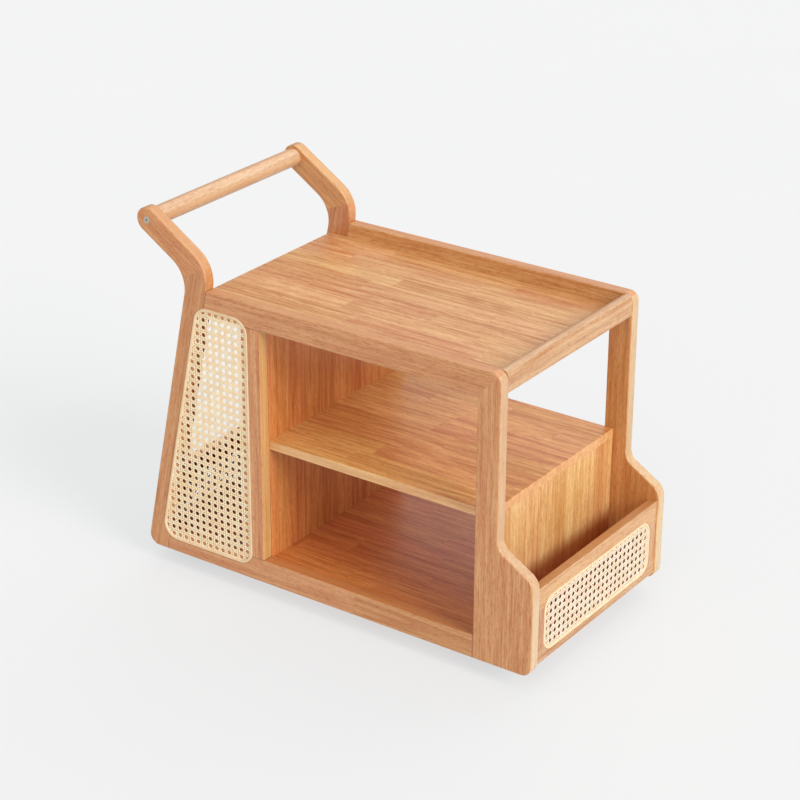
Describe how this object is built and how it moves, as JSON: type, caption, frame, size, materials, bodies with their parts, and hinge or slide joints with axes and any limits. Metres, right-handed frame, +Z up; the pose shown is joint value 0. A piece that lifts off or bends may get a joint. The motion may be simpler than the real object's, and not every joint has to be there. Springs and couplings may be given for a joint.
{
  "type": "rolling side table",
  "caption": "Wooden rolling side table with cane side panels, a sunken tray top, a shelf, a storage pocket at each end, a push handle and swivel casters.",
  "frame": {"origin": "on the floor, under the middle of the overall length and width", "axes": "+X towards the end with the crossbar and front pocket, +Y to the left side frame, +Z up"},
  "size_m": [0.736, 0.3916, 0.615],
  "materials": {
    "frame_wood": "satin honey lacquer on hardwood",
    "board_wood": "satin honey lacquer on edge-glued staves",
    "bar_wood": "satin lacquer on a turned bar",
    "dowel_wood": "plain beech",
    "cane": "natural woven cane and rattan spline",
    "steel": "zinc plated",
    "brass": "plain",
    "wheel_plastic": "moulded",
    "tyre": "matt rubber"
  },
  "bodies": {
    "cart": {"board_dowels": "dowel_wood", "bottom_board": "board_wood", "caster_balls": "steel", "caster_plates": "steel", "caster_rivets": "steel", "caster_screws": "steel", "cleat_screws": "steel", "crossbar": "frame_wood", "front_divider": "board_wood", "front_panel_bottom_rail": "frame_wood", "front_panel_cane": "cane", "front_panel_spline": "cane", "front_panel_stiles": "frame_wood", "front_panel_top_rail": "frame_wood", "handle_bar": "bar_wood", "handle_bolts": "steel", "handle_inserts": "brass", "left_bottom_rail": "frame_wood", "left_cane": "cane", "left_cane_spline": "cane", "left_frame_dowels": "dowel_wood", "left_front_post": "frame_wood", "left_handle_arm": "frame_wood", "left_rear_post": "frame_wood", "left_stile": "frame_wood", "left_top_rail": "frame_wood", "rear_divider": "board_wood", "rear_panel_bottom_rail": "frame_wood", "rear_panel_cane": "cane", "rear_panel_spline": "cane", "rear_panel_stiles": "frame_wood", "rear_panel_top_rail": "frame_wood", "right_bottom_rail": "frame_wood", "right_cane": "cane", "right_cane_spline": "cane", "right_frame_dowels": "dowel_wood", "right_front_post": "frame_wood", "right_handle_arm": "frame_wood", "right_rear_post": "frame_wood", "right_stile": "frame_wood", "right_top_rail": "frame_wood", "shelf": "board_wood", "shelf_cleat": "board_wood", "tabletop": "board_wood"},
    "swivel_front_right": {"caster_fork_front_right": "steel", "caster_axle_front_right": "steel"},
    "wheel_front_right": {"caster_wheel_front_right": "wheel_plastic", "caster_tyre_front_right": "tyre"},
    "swivel_front_left": {"caster_fork_front_left": "steel", "caster_axle_front_left": "steel"},
    "wheel_front_left": {"caster_wheel_front_left": "wheel_plastic", "caster_tyre_front_left": "tyre"},
    "swivel_rear_right": {"caster_fork_rear_right": "steel", "caster_axle_rear_right": "steel"},
    "wheel_rear_right": {"caster_wheel_rear_right": "wheel_plastic", "caster_tyre_rear_right": "tyre"},
    "swivel_rear_left": {"caster_fork_rear_left": "steel", "caster_axle_rear_left": "steel"},
    "wheel_rear_left": {"caster_wheel_rear_left": "wheel_plastic", "caster_tyre_rear_left": "tyre"}
  },
  "joints": [
    {"name": "swivel_turn_front_right", "type": "hinge", "parent": "cart", "child": "swivel_front_right", "pos_m": [0.305, -0.135, 0.045], "axis": [0, 0, 1], "continuous": true},
    {"name": "wheel_spin_front_right", "type": "hinge", "parent": "swivel_front_right", "child": "wheel_front_right", "pos_m": [0.291, -0.135, 0.019], "axis": [0, 1, 0], "continuous": true},
    {"name": "swivel_turn_front_left", "type": "hinge", "parent": "cart", "child": "swivel_front_left", "pos_m": [0.305, 0.135, 0.045], "axis": [0, 0, 1], "continuous": true},
    {"name": "wheel_spin_front_left", "type": "hinge", "parent": "swivel_front_left", "child": "wheel_front_left", "pos_m": [0.291, 0.135, 0.019], "axis": [0, 1, 0], "continuous": true},
    {"name": "swivel_turn_rear_right", "type": "hinge", "parent": "cart", "child": "swivel_rear_right", "pos_m": [-0.3, -0.135, 0.045], "axis": [0, 0, 1], "continuous": true},
    {"name": "wheel_spin_rear_right", "type": "hinge", "parent": "swivel_rear_right", "child": "wheel_rear_right", "pos_m": [-0.314, -0.135, 0.019], "axis": [0, 1, 0], "continuous": true},
    {"name": "swivel_turn_rear_left", "type": "hinge", "parent": "cart", "child": "swivel_rear_left", "pos_m": [-0.3, 0.135, 0.045], "axis": [0, 0, 1], "continuous": true},
    {"name": "wheel_spin_rear_left", "type": "hinge", "parent": "swivel_rear_left", "child": "wheel_rear_left", "pos_m": [-0.314, 0.135, 0.019], "axis": [0, 1, 0], "continuous": true}
  ]
}
